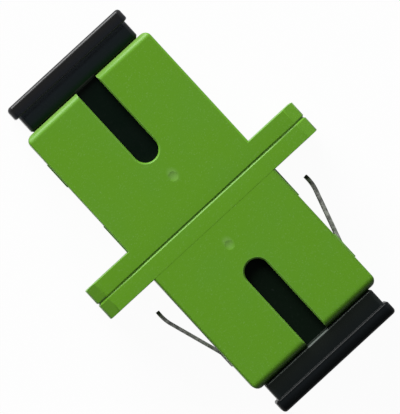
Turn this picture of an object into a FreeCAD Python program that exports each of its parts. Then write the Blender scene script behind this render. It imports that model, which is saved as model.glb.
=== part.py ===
"""Simplex SC fibre adapter: a two-part flanged housing, two latch holders that carry a split
alignment sleeve, a sprung panel clip and two dust caps.

X runs along the flange, Y along the fibre axis and Z up, out of the keyway side.
The origin is on the fibre axis, in the joint plane where the two housing halves meet.
Each half is modelled with its mouth towards +Y. The second half of a pair is the same
moulding, turned half a turn about Z.
"""
import FreeCAD
import Part

import math
import os

Vector = FreeCAD.Vector

# ---------------------------------------------------------------- driving dimensions, millimetres
# Housing moulding
screw_pitch = 18.0
screw_hole_diameter = 2.3
flange_end_margin = 2.05
flange_height = 9.16
flange_half_thickness = 1.5
flange_corner_radius = 1.0
flange_rim_bevel = 0.12
seam_chamfer = 0.15
body_width = 12.9
body_height = 9.1
body_reach = 13.5
body_edge_radius = 0.18
mouth_edge_radius = 0.6
port_width = 9.1
port_height = 7.5
port_corner_radius = 0.25
port_lead_in = 0.1
keyway_width = 2.1
keyway_length = 8.0
keyway_bevel = 0.12
pin_spacing = 13.8
pin_drop = 3.2
pin_diameter = 1.0
pin_height = 0.8
pin_clearance = 0.05
side_rib_height = 1.4
side_rib_drop = 1.0
side_rib_proud = 0.1
near_rib_end = 4.3
far_rib_start = 8.5
far_rib_end = 10.9
gate_mark_diameter = 0.8
gate_mark_depth = 0.02
gate_mark_offset = 0.2
gate_mark_reach = 3.5

# Latch holder moulding
holder_width = 12.0
holder_height = 8.0
holder_thickness = 1.2
holder_corner_radius = 0.5
holder_clearance = 0.05
barrel_diameter = 4.7
barrel_lip = 0.6
barrel_tip_chamfer = 0.3
ferrule_clearance = 0.2
ferrule_lead_in = 0.2
hook_gap = 6.9
hook_thickness = 0.9
hook_height = 3.2
hook_reach = 7.3
hook_root_radius = 0.35
claw_depth = 0.5
claw_start = 6.0
claw_land = 0.35
claw_tip_thickness = 0.65
pocket_depth = 0.9
pocket_clearance = 0.6

# Split alignment sleeve
sleeve_bore = 2.5
sleeve_diameter = 3.2
sleeve_length = 11.4
sleeve_slit = 0.5
sleeve_chamfer = 0.1
sleeve_play = 0.05
sleeve_end_play = 0.1

# Dust cap moulding
cap_plug_clearance = 0.05
cap_plug_depth = 8.6
cap_plug_wall = 0.9
cap_plug_corner_radius = 0.5
cap_plug_lead_in = 0.25
cap_hollow_past_mouth = 1.1
cap_hook_clearance = 0.4
cap_hook_end_clearance = 1.0
cap_shoulder_width = 11.3
cap_shoulder_height = 8.3
cap_shoulder_length = 1.65
cap_shoulder_corner_radius = 0.35
cap_shoulder_bevel = 0.2
cap_plate_width = 11.92
cap_plate_height = 8.9
cap_plate_thickness = 1.1
cap_plate_corner_radius = 0.4
cap_plate_edge_radius = 0.3
cap_plate_inner_bevel = 0.1

# Panel clip, one strip of spring steel
clip_sheet = 0.3
clip_proud = 0.1
clip_recess_margin = 0.03
clip_bend_radius = 0.3
clip_channel_clearance = 0.05
wing_recess_clearance = 0.3
clip_leg_start = 9.6
clip_leg_width = 1.15
clip_leg_top = 1.9
clip_base_start = 4.9
clip_base_width = 11.0
clip_base_corner_radius = 0.8
clip_window_bottom = -3.4
clip_window_height = 0.9
clip_window_width = 0.55
clip_nub_proud = 0.15
clip_nub_clearance = 0.06
wing_height = 3.8
wing_angle = 17.5
wing_root_radius = 1.0
wing_run = 4.48
wing_curl_radius = 3.6
wing_curl_angle = 6.0
wing_tip_radius = 0.7

# ---------------------------------------------------------------- sizes that follow
flange_length = screw_pitch + 2 * flange_end_margin
body_side = body_width / 2
body_top = body_height / 2
holder_seat_depth = holder_thickness + holder_clearance
sleeve_pocket_radius = sleeve_diameter / 2 + sleeve_play
sleeve_pocket_end = sleeve_length / 2 + sleeve_end_play
ferrule_hole_radius = sleeve_bore / 2 + ferrule_clearance
barrel_reach = sleeve_pocket_end + barrel_lip
hook_outer = hook_gap / 2 + hook_thickness
pocket_reach = hook_reach + pocket_clearance
plug_width = port_width - 2 * cap_plug_clearance
plug_height = port_height - 2 * cap_plug_clearance
plug_end = body_reach - cap_plug_depth
clip_leg_end = clip_leg_start + clip_leg_width
clip_inner_side = body_side + clip_proud - clip_sheet
clip_floor = -body_top + clip_recess_margin
clip_inner_floor = clip_floor + clip_sheet
wing_length = (
    math.radians(wing_angle) * wing_root_radius
    + wing_run
    + math.radians(wing_angle + wing_curl_angle) * wing_curl_radius
)
overcut = 1.0
tolerance = 1e-6
plane_tolerance = 1e-5

ALONG_X = Vector(1, 0, 0)
ALONG_Y = Vector(0, 1, 0)
ALONG_Z = Vector(0, 0, 1)
ORIGIN = Vector(0, 0, 0)


# ---------------------------------------------------------------- helpers
def block(x_start, x_end, y_start, y_end, z_start, z_end):
    """A plain block between three pairs of limits."""
    corner = Vector(x_start, y_start, z_start)
    return Part.makeBox(x_end - x_start, y_end - y_start, z_end - z_start, corner)


def edges_along(shape, direction):
    """The straight edges that run in one direction."""
    found = []
    for edge in shape.Edges:
        if not isinstance(edge.Curve, Part.Line):
            continue
        if edge.Curve.Direction.cross(direction).Length < tolerance:
            found.append(edge)
    return found


def edges_at_reach(shape, reach):
    """The edges that lie in the plane across the fibre axis at this reach."""
    found = []
    for edge in shape.Edges:
        box = edge.BoundBox
        if abs(box.YMin - reach) < plane_tolerance and abs(box.YMax - reach) < plane_tolerance:
            found.append(edge)
    return found


def bar(width, height, corner_radius, y_start, y_end):
    """A bar along the fibre axis with a rounded rectangular section, centred on that axis."""
    solid = block(-width / 2, width / 2, y_start, y_end, -height / 2, height / 2)
    return solid.makeFillet(corner_radius, edges_along(solid, ALONG_Y))


def rod(radius, y_start, y_end, x=0.0, z=0.0):
    """A round rod that lies along the fibre direction."""
    return Part.makeCylinder(radius, y_end - y_start, Vector(x, y_start, z), ALONG_Y)


def cone(start_radius, end_radius, y_start, y_end):
    """A cone on the fibre axis."""
    return Part.makeCone(start_radius, end_radius, y_end - y_start, Vector(0, y_start, 0), ALONG_Y)


def flared_bar(width, height, flare, y_start, y_end):
    """A bar on the fibre axis whose section grows by the flare on every side."""
    sections = []
    for reach, grow in ((y_start, 0.0), (y_end, flare)):
        half_width = width / 2 + grow
        half_height = height / 2 + grow
        corners = [
            Vector(-half_width, reach, -half_height),
            Vector(half_width, reach, -half_height),
            Vector(half_width, reach, half_height),
            Vector(-half_width, reach, half_height),
        ]
        sections.append(Part.makePolygon(corners + corners[:1]))
    return Part.makeLoft(sections, True, True)


def prism_up(points, z_start, z_end):
    """A flat outline in X and Y, raised from one height to another."""
    corners = [Vector(x, y, z_start) for x, y in points]
    outline = Part.makePolygon(corners + corners[:1])
    return Part.Face(outline).extrude(Vector(0, 0, z_end - z_start))


def both_sides(solid):
    """The solid and its mirror image on the other side of the fibre axis."""
    return solid.fuse(solid.mirror(ORIGIN, ALONG_X))


def turned(solid):
    """A copy turned half a turn about Z, for the other end of the adapter."""
    copy = solid.copy()
    copy.rotate(ORIGIN, ALONG_Z, 180)
    return copy


def single(shape):
    """The one solid that a boolean result holds, with its split faces joined."""
    return shape.removeSplitter().Solids[0]


# ---------------------------------------------------------------- housing moulding
def housing_body():
    """The long rectangular body, rounded at the mouth."""
    solid = block(-body_side, body_side, 0, body_reach, -body_top, body_top)
    solid = solid.makeFillet(mouth_edge_radius, edges_at_reach(solid, body_reach))
    return solid.makeFillet(body_edge_radius, edges_along(solid, ALONG_Y))


def housing_flange():
    """Half of the mounting flange, bevelled along the seam."""
    solid = bar(flange_length, flange_height, flange_corner_radius, 0, flange_half_thickness)
    solid = solid.makeChamfer(flange_rim_bevel, edges_at_reach(solid, flange_half_thickness))
    return solid.makeChamfer(seam_chamfer, edges_at_reach(solid, 0))


def keyway_cutter():
    """The slot for a plug's key: open at the mouth, round at its inner end, bevelled on top."""
    half = keyway_width / 2
    inner_end = body_reach - keyway_length + half
    floor = port_height / 2 - port_lead_in
    mouth = body_reach + overcut
    slot = block(-half, half, inner_end, mouth, floor, body_top + overcut)
    slot = slot.fuse(Part.makeCylinder(half, body_top + overcut - floor, Vector(0, inner_end, floor)))
    bevel_floor = body_top - keyway_bevel
    outline = [
        Vector(-half, inner_end, bevel_floor),
        Vector(half, inner_end, bevel_floor),
        Vector(half + keyway_bevel, inner_end, body_top),
        Vector(-half - keyway_bevel, inner_end, body_top),
    ]
    face = Part.Face(Part.makePolygon(outline + outline[:1]))
    bevel = face.extrude(Vector(0, mouth - inner_end, 0))
    end = Part.makeCone(half, half + keyway_bevel, keyway_bevel, Vector(0, inner_end, bevel_floor))
    return slot.fuse([bevel, end])


def hook_pocket():
    """Room beside the port for one latch hook to spring outwards."""
    half_height = hook_height / 2 + pocket_clearance
    return block(0, port_width / 2 + pocket_depth, 0, pocket_reach, -half_height, half_height)


def clip_channel():
    """The shallow channel that holds the panel clip, and the recesses its wings fold into."""
    start = clip_leg_start - clip_channel_clearance
    end = clip_leg_end + clip_channel_clearance
    top = clip_leg_top + clip_channel_clearance
    outside = block(-body_width, body_width, start, end, -body_height, top)
    core = block(-clip_inner_side, clip_inner_side, start, end, clip_inner_floor, body_height)
    lower = [edge for edge in edges_along(core, ALONG_Y) if edge.BoundBox.ZMax < 0]
    core = core.makeFillet(clip_bend_radius + clip_channel_clearance, lower)
    half = clip_base_width / 2 + clip_channel_clearance
    base_start = clip_base_start - clip_channel_clearance
    base = block(-half, half, base_start, end, -body_height, clip_inner_floor)
    wing_start = clip_leg_start - wing_length - wing_recess_clearance
    wing_bottom = clip_leg_top - wing_height - clip_channel_clearance
    wing_room = block(clip_inner_side, body_width, wing_start, end, wing_bottom, top)
    return outside.cut(core).fuse([base, both_sides(wing_room)])


def clip_nub():
    """A ramped nub on the channel's side wall that snaps into the clip's window."""
    bottom = clip_window_bottom + clip_nub_clearance
    top = clip_window_bottom + clip_window_height - clip_nub_clearance
    half = clip_window_width / 2 - clip_nub_clearance
    middle = clip_leg_start + clip_leg_width / 2
    foot = clip_inner_side - clip_sheet
    points = [
        Vector(foot, middle - half, bottom),
        Vector(clip_inner_side, middle - half, bottom),
        Vector(clip_inner_side + clip_nub_proud, middle - half, top),
        Vector(foot, middle - half, top),
    ]
    return Part.Face(Part.makePolygon(points + points[:1])).extrude(Vector(0, 2 * half, 0))


def side_ribs():
    """Two low ribs on one side wall that take up the play in the panel cut-out."""
    top = body_top - side_rib_drop
    wall = body_side - side_rib_proud
    ribs = []
    for start, end in ((flange_half_thickness, near_rib_end), (far_rib_start, far_rib_end)):
        rib = block(-body_side - side_rib_proud, -wall, start, end, top - side_rib_height, top)
        ribs.append(rib)
    return ribs


def housing_half():
    """One half of the housing: flange half, body, port, keyway and clip channel."""
    half_pin = pin_diameter / 2
    pin = rod(half_pin, -pin_height, flange_half_thickness / 2, pin_spacing / 2, pin_drop)
    other_pin = rod(half_pin, -pin_height, flange_half_thickness / 2, -pin_spacing / 2, -pin_drop)
    pin_hole_depth = pin_height + pin_clearance
    cutters = [
        bar(
            holder_width + 2 * holder_clearance,
            holder_height + 2 * holder_clearance,
            holder_corner_radius,
            -overcut,
            holder_seat_depth,
        ),
        bar(port_width, port_height, port_corner_radius, 0, body_reach + overcut),
        flared_bar(port_width, port_height, port_lead_in, body_reach - port_lead_in, body_reach),
        both_sides(hook_pocket()),
        keyway_cutter(),
        clip_channel(),
        rod(screw_hole_diameter / 2, -overcut, flange_half_thickness + overcut, screw_pitch / 2),
        rod(screw_hole_diameter / 2, -overcut, flange_half_thickness + overcut, -screw_pitch / 2),
        rod(half_pin + pin_clearance, -overcut, pin_hole_depth, -pin_spacing / 2, pin_drop),
        rod(half_pin + pin_clearance, -overcut, pin_hole_depth, pin_spacing / 2, -pin_drop),
        Part.makeCylinder(
            gate_mark_diameter / 2,
            overcut,
            Vector(gate_mark_offset, gate_mark_reach, body_top - gate_mark_depth),
        ),
    ]
    solid = housing_body().fuse(housing_flange())
    solid = solid.cut(cutters)
    solid = solid.fuse(side_ribs() + [both_sides(clip_nub()), pin, other_pin])
    return single(solid)


# ---------------------------------------------------------------- latch holder moulding
def hook():
    """One sprung arm with a claw that grips a plug's shoulder."""
    inner = hook_gap / 2
    claw = inner - claw_depth
    root = holder_thickness / 2
    points = [
        (inner, root),
        (inner, claw_start),
        (claw, claw_start),
        (claw, claw_start + claw_land),
        (hook_outer - claw_tip_thickness, hook_reach),
        (hook_outer, hook_reach),
        (hook_outer, root),
    ]
    return prism_up(points, -hook_height / 2, hook_height / 2)


def hook_roots(solid):
    """The edges where the arms spring from the plate."""
    found = []
    for edge in edges_along(solid, ALONG_Z):
        middle = edge.BoundBox.Center
        beside_arm = hook_gap / 2 - tolerance < abs(middle.x) < hook_outer + tolerance
        if beside_arm and abs(middle.y - holder_thickness) < plane_tolerance:
            found.append(edge)
    return found


def latch_holder():
    """A plate with a barrel for half of the sleeve and a pair of latch hooks."""
    plate = bar(holder_width, holder_height, holder_corner_radius, 0, holder_thickness)
    solid = single(plate.fuse(both_sides(hook())))
    solid = solid.makeFillet(hook_root_radius, hook_roots(solid))
    barrel = rod(barrel_diameter / 2, 0, barrel_reach)
    barrel = barrel.makeChamfer(barrel_tip_chamfer, edges_at_reach(barrel, barrel_reach))
    pocket = rod(sleeve_pocket_radius, -overcut, sleeve_pocket_end)
    hole = rod(ferrule_hole_radius, 0, barrel_reach + overcut)
    lead_in = cone(
        ferrule_hole_radius,
        ferrule_hole_radius + ferrule_lead_in,
        barrel_reach - ferrule_lead_in,
        barrel_reach,
    )
    return single(solid.fuse(barrel).cut([pocket, hole, lead_in]))


# ---------------------------------------------------------------- alignment sleeve
def alignment_sleeve():
    """The ceramic tube, slit along one side, that lines up the two ferrules."""
    end = sleeve_length / 2
    tube = rod(sleeve_diameter / 2, -end, end).cut(rod(sleeve_bore / 2, -end, end))
    rims = edges_at_reach(tube, -end) + edges_at_reach(tube, end)
    tube = tube.makeChamfer(sleeve_chamfer, rims)
    slit = block(-sleeve_slit / 2, sleeve_slit / 2, -end, end, -sleeve_diameter, 0)
    return single(tube.cut(slit))


# ---------------------------------------------------------------- dust cap moulding
def dust_cap():
    """A hollow plug with a shoulder that stops on the mouth and a wider plate to grip."""
    shoulder_end = body_reach + cap_shoulder_length
    plate_end = shoulder_end + cap_plate_thickness
    plug = bar(plug_width, plug_height, cap_plug_corner_radius, plug_end, shoulder_end)
    plug = plug.makeChamfer(cap_plug_lead_in, edges_at_reach(plug, plug_end))
    shoulder = bar(
        cap_shoulder_width, cap_shoulder_height, cap_shoulder_corner_radius, body_reach, shoulder_end
    )
    shoulder = shoulder.makeChamfer(cap_shoulder_bevel, edges_at_reach(shoulder, body_reach))
    plate = bar(
        cap_plate_width, cap_plate_height, cap_plate_corner_radius, shoulder_end, plate_end
    )
    plate = plate.makeFillet(cap_plate_edge_radius, edges_at_reach(plate, plate_end))
    plate = plate.makeChamfer(cap_plate_inner_bevel, edges_at_reach(plate, shoulder_end))
    hollow = bar(
        plug_width - 2 * cap_plug_wall,
        plug_height - 2 * cap_plug_wall,
        cap_plug_corner_radius,
        plug_end - overcut,
        body_reach + cap_hollow_past_mouth,
    )
    notch_half = hook_height / 2 + cap_hook_clearance
    notch_end = hook_reach + cap_hook_end_clearance
    notch = block(-plug_width, plug_width, plug_end - overcut, notch_end, -notch_half, notch_half)
    return single(plug.fuse([shoulder, plate]).cut([hollow, notch]))


# ---------------------------------------------------------------- panel clip
def wing_normal(angle):
    """The outward direction of the wing's sheet where it leans out by this angle."""
    return Vector(math.cos(math.radians(angle)), math.sin(math.radians(angle)), 0)


def wing_face(offset):
    """The points of one face of the wing, at an offset from the middle of its sheet, root first."""
    root = Vector(clip_inner_side + clip_sheet / 2, clip_leg_start, 0)
    root_centre = root + wing_normal(0) * wing_root_radius
    run_start = root_centre - wing_normal(wing_angle) * wing_root_radius
    run_direction = wing_normal(wing_angle - 90)
    run_end = run_start + run_direction * wing_run
    curl_centre = run_end - wing_normal(wing_angle) * wing_curl_radius
    root_radius = wing_root_radius - offset
    curl_radius = wing_curl_radius + offset
    root_points = [
        root_centre - wing_normal(angle) * root_radius for angle in (0, wing_angle / 2, wing_angle)
    ]
    curl_middle = (wing_angle - wing_curl_angle) / 2
    curl_points = [
        curl_centre + wing_normal(angle) * curl_radius
        for angle in (wing_angle, curl_middle, -wing_curl_angle)
    ]
    return root_points, curl_points


def clip_wing():
    """A sprung wing that leans out from its leg towards the flange and curls in at its tip."""
    outer_root, outer_curl = wing_face(clip_sheet / 2)
    inner_root, inner_curl = wing_face(-clip_sheet / 2)
    edges = [
        Part.Arc(*outer_root).toShape(),
        Part.makeLine(outer_root[-1], outer_curl[0]),
        Part.Arc(*outer_curl).toShape(),
        Part.makeLine(outer_curl[-1], inner_curl[-1]),
        Part.Arc(*inner_curl).toShape(),
        Part.makeLine(inner_curl[0], inner_root[-1]),
        Part.Arc(*inner_root).toShape(),
        Part.makeLine(inner_root[0], outer_root[0]),
    ]
    outline = Part.Wire(Part.__sortEdges__(edges))
    outline.translate(Vector(0, 0, clip_leg_top - wing_height))
    wing = Part.Face(outline).extrude(Vector(0, 0, wing_height))
    tip = inner_curl[-1].y
    corners = [
        edge
        for edge in wing.Edges
        if abs(edge.BoundBox.YMin - tip) < clip_sheet
        and abs(edge.Length - clip_sheet) < plane_tolerance
    ]
    return wing.makeFillet(wing_tip_radius, corners)


def clip_section(half_width, floor, top, bend_radius):
    """A block as long as the clip's legs, rounded along its two lower edges."""
    solid = block(-half_width, half_width, clip_leg_start, clip_leg_end, floor, top)
    lower = [edge for edge in edges_along(solid, ALONG_Y) if edge.BoundBox.ZMax < floor + tolerance]
    return solid.makeFillet(bend_radius, lower)


def panel_clip():
    """The U-shaped strip under the housing, with a leg and a wing on each side."""
    outer_side = clip_inner_side + clip_sheet
    outside = clip_section(outer_side, clip_floor, clip_leg_top, clip_bend_radius + clip_sheet)
    inside = clip_section(clip_inner_side, clip_inner_floor, body_height, clip_bend_radius)
    half = clip_base_width / 2
    base = block(-half, half, clip_base_start, clip_leg_end, clip_floor, clip_inner_floor)
    front = [edge for edge in edges_along(base, ALONG_Z) if edge.BoundBox.YMax < clip_leg_start]
    base = base.makeFillet(clip_base_corner_radius, front)
    middle = clip_leg_start + clip_leg_width / 2
    window = block(
        -body_width,
        body_width,
        middle - clip_window_width / 2,
        middle + clip_window_width / 2,
        clip_window_bottom,
        clip_window_bottom + clip_window_height,
    )
    legs = outside.cut([inside, window])
    return single(legs.fuse([base, both_sides(clip_wing())]))


# ---------------------------------------------------------------- the parts, one file each
def parts():
    """Every part of the adapter in its place, by name."""
    housing = housing_half()
    holder = latch_holder()
    cap = dust_cap()
    return {
        "housing_back": housing,
        "housing_front": turned(housing),
        "latch_holder_back": holder,
        "latch_holder_front": turned(holder),
        "alignment_sleeve": alignment_sleeve(),
        "panel_clip": panel_clip(),
        "dust_cap_back": cap,
        "dust_cap_front": turned(cap),
    }


os.makedirs("parts", exist_ok=True)
for name, solid in parts().items():
    solid.exportStep(f"parts/{name}.step")
    print(name, "valid" if solid.isValid() else "not valid", round(solid.Volume, 2), "mm3")
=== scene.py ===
"""Looks of a simplex SC fibre adapter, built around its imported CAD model.

The adapter is a green two-part moulding with a flange, two dust caps and a sprung panel clip,
and inside it two latch holders carry a split ceramic sleeve. Sizes in the classes are in
millimetres; meshes are in metres, in the frame of the CAD model.
"""
import logging
import math
from abc import ABC, abstractmethod
from collections.abc import Mapping, Sequence
from dataclasses import dataclass, field
from enum import Enum
from typing import Any

import bmesh
import bpy
from mathutils import Matrix, Vector


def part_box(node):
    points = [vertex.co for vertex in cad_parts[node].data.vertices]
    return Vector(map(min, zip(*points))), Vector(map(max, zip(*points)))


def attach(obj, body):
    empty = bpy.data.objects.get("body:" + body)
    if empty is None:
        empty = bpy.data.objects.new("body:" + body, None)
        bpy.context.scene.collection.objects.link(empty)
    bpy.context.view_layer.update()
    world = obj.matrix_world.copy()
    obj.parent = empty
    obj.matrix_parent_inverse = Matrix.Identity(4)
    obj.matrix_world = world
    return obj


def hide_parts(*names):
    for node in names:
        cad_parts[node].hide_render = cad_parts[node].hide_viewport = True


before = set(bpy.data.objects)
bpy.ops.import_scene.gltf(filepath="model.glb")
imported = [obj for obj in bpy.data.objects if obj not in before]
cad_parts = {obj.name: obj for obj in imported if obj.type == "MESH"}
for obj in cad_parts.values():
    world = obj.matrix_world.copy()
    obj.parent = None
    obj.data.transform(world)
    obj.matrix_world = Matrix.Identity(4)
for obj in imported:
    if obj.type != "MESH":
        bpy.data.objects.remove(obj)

log = logging.getLogger("adapter")

MM = 0.001
MERGE_DISTANCE = 2e-7
FLAT_ANGLE = math.radians(0.6)
EDGE_ANGLE = math.radians(28.0)
NORMAL_WEIGHT = 60
NOISE_MIDDLE = 0.5

Colour = tuple[float, float, float]
Span = tuple[float, float]

WHITE: Colour = (1.0, 1.0, 1.0)


class End(Enum):
    """The two ends of the adapter, and which way along Y each one faces."""

    BACK = 1
    FRONT = -1

    @property
    def label(self) -> str:
        """The end's name as the nodes and bodies of the model spell it."""
        return self.name.lower()


class Side(Enum):
    """The two sides of the adapter across the fibre axis, by the sign of X."""

    PLUS = 1
    MINUS = -1


class Slot(Enum):
    """The material slots that the model's record names."""

    GREEN = "green_plastic"
    BLACK = "black_plastic"
    LATCH = "latch_plastic"
    CERAMIC = "zirconia"
    STEEL = "spring_steel"


# ------------------------------------------------------------------------------- node trees
class Signal:
    """One output socket of a node tree, on which Python arithmetic adds Math nodes."""

    def __init__(self, tree: "Tree", socket: bpy.types.NodeSocket | None) -> None:
        """Wrap a socket.

        Args:
            tree: The tree that the socket belongs to.
            socket: The output socket, or None after a node that ends its tree.
        """
        self.tree = tree
        self.socket = socket

    def math(self, operation: str, *values: "Signal | float") -> "Signal":
        """Add a Math node.

        Args:
            operation: The node's operation.
            values: What goes into its sockets, in order.

        Returns:
            The node's result.
        """
        return self.tree.node("ShaderNodeMath", dict(enumerate(values)), operation=operation)

    def __add__(self, other: "Signal | float") -> "Signal":
        """The sum of two values."""
        return self.math("ADD", self, other)

    def __radd__(self, other: float) -> "Signal":
        """The sum of a number and this value."""
        return self.math("ADD", other, self)

    def __sub__(self, other: "Signal | float") -> "Signal":
        """This value less another."""
        return self.math("SUBTRACT", self, other)

    def __rsub__(self, other: float) -> "Signal":
        """A number less this value."""
        return self.math("SUBTRACT", other, self)

    def __mul__(self, other: "Signal | float") -> "Signal":
        """The product of two values."""
        return self.math("MULTIPLY", self, other)

    def __rmul__(self, other: float) -> "Signal":
        """The product of a number and this value."""
        return self.math("MULTIPLY", other, self)

    def __truediv__(self, other: "Signal | float") -> "Signal":
        """This value over another."""
        return self.math("DIVIDE", self, other)

    def __pow__(self, other: "Signal | float") -> "Signal":
        """This value raised to a power."""
        return self.math("POWER", self, other)

    def __abs__(self) -> "Signal":
        """This value without its sign."""
        return self.math("ABSOLUTE", self)

    def at_most(self, other: "Signal | float") -> "Signal":
        """The smaller of two values."""
        return self.math("MINIMUM", self, other)

    def at_least(self, other: "Signal | float") -> "Signal":
        """The larger of two values."""
        return self.math("MAXIMUM", self, other)

    def clamped(self) -> "Signal":
        """This value kept between nought and one."""
        return self.at_least(0.0).at_most(1.0)

    def ramp(self, start: float, end: float) -> "Signal":
        """Rise smoothly from nought to one between two limits.

        Args:
            start: The value that gives nought.
            end: The value that gives one; it may be the smaller of the two.

        Returns:
            The eased share.
        """
        inputs = {"Value": self, "From Min": start, "From Max": end}
        return self.tree.node("ShaderNodeMapRange", inputs, interpolation_type="SMOOTHSTEP")


Value = Signal | float | int | bool | Sequence[float]


class Tree:
    """A node tree that is being built, for a material, the world or a geometry group."""

    def __init__(self, tree: bpy.types.NodeTree) -> None:
        """Start with an empty tree.

        Args:
            tree: The tree to fill; what it holds is cleared.
        """
        self.tree = tree
        tree.nodes.clear()

    def node(
        self,
        kind: str,
        inputs: Mapping[str | int, Any] | None = None,
        outlet: str | int = 0,
        **settings: Any,
    ) -> Signal:
        """Add one node.

        Args:
            kind: The node's type.
            inputs: Values, links or lists of links for its sockets, by name or number.
            outlet: The output that is wanted, by name or number.
            settings: The node's own settings, set before its sockets.

        Returns:
            The wanted output.
        """
        made = self.tree.nodes.new(kind)
        for name, value in settings.items():
            setattr(made, name, value)
        for key, value in (inputs or {}).items():
            for single in value if isinstance(value, list) else [value]:
                if isinstance(single, Signal):
                    self.tree.links.new(single.socket, made.inputs[key])
                else:
                    made.inputs[key].default_value = single
        return Signal(self, made.outputs[outlet] if made.outputs else None)

    def mix(self, share: Value, first: Value, second: Value) -> Signal:
        """Blend two colours.

        Args:
            share: How much of the second colour shows.
            first: The colour at nought.
            second: The colour at one.

        Returns:
            The blended colour.
        """
        inputs = {0: share, 6: self.paint(first), 7: self.paint(second)}
        return self.node("ShaderNodeMix", inputs, outlet=2, data_type="RGBA")

    def vector(self, operation: str, *values: Value, outlet: int = 0) -> Signal:
        """Add a Vector Math node and return the output that is wanted."""
        inputs = dict(enumerate(values))
        return self.node("ShaderNodeVectorMath", inputs, outlet, operation=operation)

    def axes(self, vector: Signal) -> tuple[Signal, Signal, Signal]:
        """Split a vector into its three parts."""
        outputs = self.node("ShaderNodeSeparateXYZ", {0: vector}).socket.node.outputs
        return Signal(self, outputs[0]), Signal(self, outputs[1]), Signal(self, outputs[2])

    def joined(self, x: Value, y: Value, z: Value) -> Signal:
        """Put three values together as a vector."""
        return self.node("ShaderNodeCombineXYZ", {0: x, 1: y, 2: z})

    @staticmethod
    def paint(colour: Value) -> Value:
        """Give a plain colour the fourth number that a colour socket takes."""
        return colour if isinstance(colour, Signal) else (*colour, 1.0)


# ------------------------------------------------------------------------------- finishes
@dataclass(frozen=True)
class Layer:
    """A random pattern in a finish: the width of its patches and what they do to the surface.

    The size and the height are in millimetres. The limits are the two values between which the
    colour of the layer comes in, and the share is how much of it shows at the most.
    """

    size: float
    detail: float = 3.0
    limits: Span = (0.0, 1.0)
    share: float = 1.0
    height: float = 0.0
    roughness: float = 0.0

    def pattern(self, tree: Tree, where: Signal) -> Signal:
        """The layer's soft random value, around a half, at a position in metres."""
        inputs = {"Vector": where, "Scale": 1.0 / (self.size * MM), "Detail": self.detail}
        return tree.node("ShaderNodeTexNoise", inputs)

    def shown(self, pattern: Signal) -> Signal:
        """How much of the layer's colour shows."""
        return pattern.ramp(*self.limits) * self.share

    def relief(self, pattern: Signal) -> Signal:
        """How high the layer stands, in metres."""
        return pattern * (self.height * MM)


@dataclass(frozen=True)
class Blush:
    """The pale, ragged spot that the hot plastic leaves round a gate, on the top face alone."""

    x: float
    y: float
    radius: float
    share: float
    core: float = 0.15
    raggedness: float = 0.9
    squeeze: float = 1.35
    top_start: float = 4.0
    top_end: float = 4.4

    def shown(self, tree: Tree, where: Signal, clouds: Signal) -> Signal:
        """How much of the spot shows.

        Args:
            tree: The material's tree.
            where: The position on the piece, in metres.
            clouds: The cloudiness, which makes the spot ragged.

        Returns:
            The share of the pale colour.
        """
        x, y, z = tree.axes(where)
        across = (x - self.x * MM) * self.squeeze
        along = y - self.y * MM
        reach = (across * across + along * along) ** 0.5
        ragged = reach + (clouds - NOISE_MIDDLE) * (self.raggedness * MM)
        near = ragged.ramp(self.radius * MM, self.core * MM)
        return near * z.ramp(self.top_start * MM, self.top_end * MM) * self.share


@dataclass(frozen=True)
class Stop:
    """A colour, with painted light and shade in it, that a piece comes to at a distance from the
    seam, along the fibre axis.
    """

    reach: float
    colour: Colour


@dataclass(frozen=True)
class Tint:
    """Painted light that comes in between two places along the fibre axis and stays from there
    on; a darker colour paints shade and a paler one paints a highlight.
    """

    start: float
    end: float
    share: float
    colour: Colour

    def shown(self, y: Signal) -> Signal:
        """How much of the painted light shows at a place along the fibre axis, in metres."""
        return y.ramp(self.start * MM, self.end * MM) * self.share


@dataclass(frozen=True)
class Finish(ABC):
    """What a piece is dressed in: a name, a slot of the record and a way to make the shader."""

    name: str
    slot: Slot | None

    @abstractmethod
    def shade(self, tree: Tree) -> Signal:
        """Build the surface shader and return it."""

    def material(self) -> bpy.types.Material:
        """Make the material once, and give the same one after that.

        Returns:
            The material.
        """
        found = bpy.data.materials.get(self.name)
        if found:
            return found
        material = bpy.data.materials.new(self.name)
        material.use_nodes = True
        tree = Tree(material.node_tree)
        tree.node("ShaderNodeOutputMaterial", {"Surface": self.shade(tree)})
        return material

    @staticmethod
    def place(tree: Tree) -> Signal:
        """The position on the piece, in metres."""
        return tree.node("ShaderNodeTexCoord", outlet="Object")

    @staticmethod
    def surface(
        tree: Tree,
        colour: Signal,
        roughness: Signal,
        height: Signal,
        others: Mapping[str, float] | None = None,
    ) -> Signal:
        """Build a plain surface with a fine relief.

        Args:
            tree: The material's tree.
            colour: The colour.
            roughness: The roughness.
            height: The height of the relief, in metres.
            others: Plain values for the shader's other inputs, by name.

        Returns:
            The shader.
        """
        bump = tree.node("ShaderNodeBump", {"Strength": 1.0, "Distance": 1.0, "Height": height})
        inputs = {"Base Color": colour, "Roughness": roughness, "Normal": bump}
        return tree.node("ShaderNodeBsdfPrincipled", inputs | dict(others or {}))


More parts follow.
